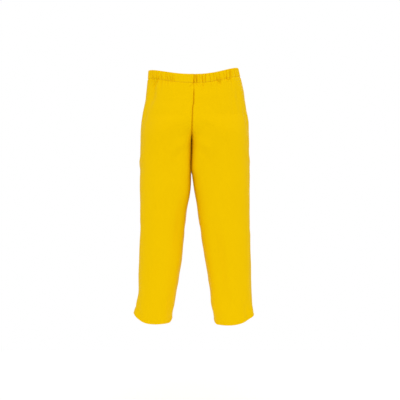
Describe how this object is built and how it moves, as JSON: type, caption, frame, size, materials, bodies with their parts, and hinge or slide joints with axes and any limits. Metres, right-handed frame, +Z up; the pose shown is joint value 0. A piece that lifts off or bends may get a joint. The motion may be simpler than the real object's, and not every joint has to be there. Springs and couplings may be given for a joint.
{
  "type": "waterproof over-trousers",
  "caption": "Loose pull-on trousers of coated cloth with a gathered elastic waist, panelled seat and legs, a centre rise seam and turned hems.",
  "frame": {"origin": "middle of the waist opening, level with its top edge", "axes": "+Z up, the front of the trousers faces -Y, +X towards the wearer's left"},
  "size_m": [0.5004, 0.276, 1.08],
  "materials": {
    "cloth": "satin",
    "cloth_inside": "matte",
    "elastic": "matte",
    "thread": "matte"
  },
  "bodies": {
    "seat": {"waist_elastic": "elastic", "waist_stitching": "thread", "front_rise_tape": "cloth_inside", "back_rise_tape": "cloth_inside", "waist_casing_right": "cloth", "seat_front_right": "cloth", "seat_back_right": "cloth", "groin_fold_right": "cloth", "outseam_tape_seat_right": "cloth_inside", "waist_casing_left": "cloth", "seat_front_left": "cloth", "seat_back_left": "cloth", "groin_fold_left": "cloth", "outseam_tape_seat_left": "cloth_inside"},
    "thigh_right": {"thigh_front_right": "cloth", "thigh_back_right": "cloth", "knee_fold_right": "cloth", "outseam_tape_thigh_right": "cloth_inside", "inseam_tape_thigh_right": "cloth_inside"},
    "shin_right": {"shin_front_right": "cloth", "shin_back_right": "cloth", "hem_turn_up_right": "cloth_inside", "hem_stitching_right": "thread", "outseam_tape_shin_right": "cloth_inside", "inseam_tape_shin_right": "cloth_inside"},
    "thigh_left": {"thigh_front_left": "cloth", "thigh_back_left": "cloth", "knee_fold_left": "cloth", "outseam_tape_thigh_left": "cloth_inside", "inseam_tape_thigh_left": "cloth_inside"},
    "shin_left": {"shin_front_left": "cloth", "shin_back_left": "cloth", "hem_turn_up_left": "cloth_inside", "hem_stitching_left": "thread", "outseam_tape_shin_left": "cloth_inside", "inseam_tape_shin_left": "cloth_inside"}
  },
  "joints": [
    {"name": "hip_right", "type": "hinge", "parent": "seat", "child": "thigh_right", "pos_m": [0, 0.008, -0.256], "axis": [-1, 0, 0], "range_deg": [0, 90], "deforming": ["groin_fold_right"]},
    {"name": "knee_right", "type": "hinge", "parent": "thigh_right", "child": "shin_right", "pos_m": [0, -0.008, -0.67], "axis": [1, 0, 0], "range_deg": [0, 100], "deforming": ["knee_fold_right"]},
    {"name": "hip_left", "type": "hinge", "parent": "seat", "child": "thigh_left", "pos_m": [0, 0.008, -0.256], "axis": [-1, 0, 0], "range_deg": [0, 90], "deforming": ["groin_fold_left"]},
    {"name": "knee_left", "type": "hinge", "parent": "thigh_left", "child": "shin_left", "pos_m": [0, -0.008, -0.67], "axis": [1, 0, 0], "range_deg": [0, 100], "deforming": ["knee_fold_left"]}
  ]
}
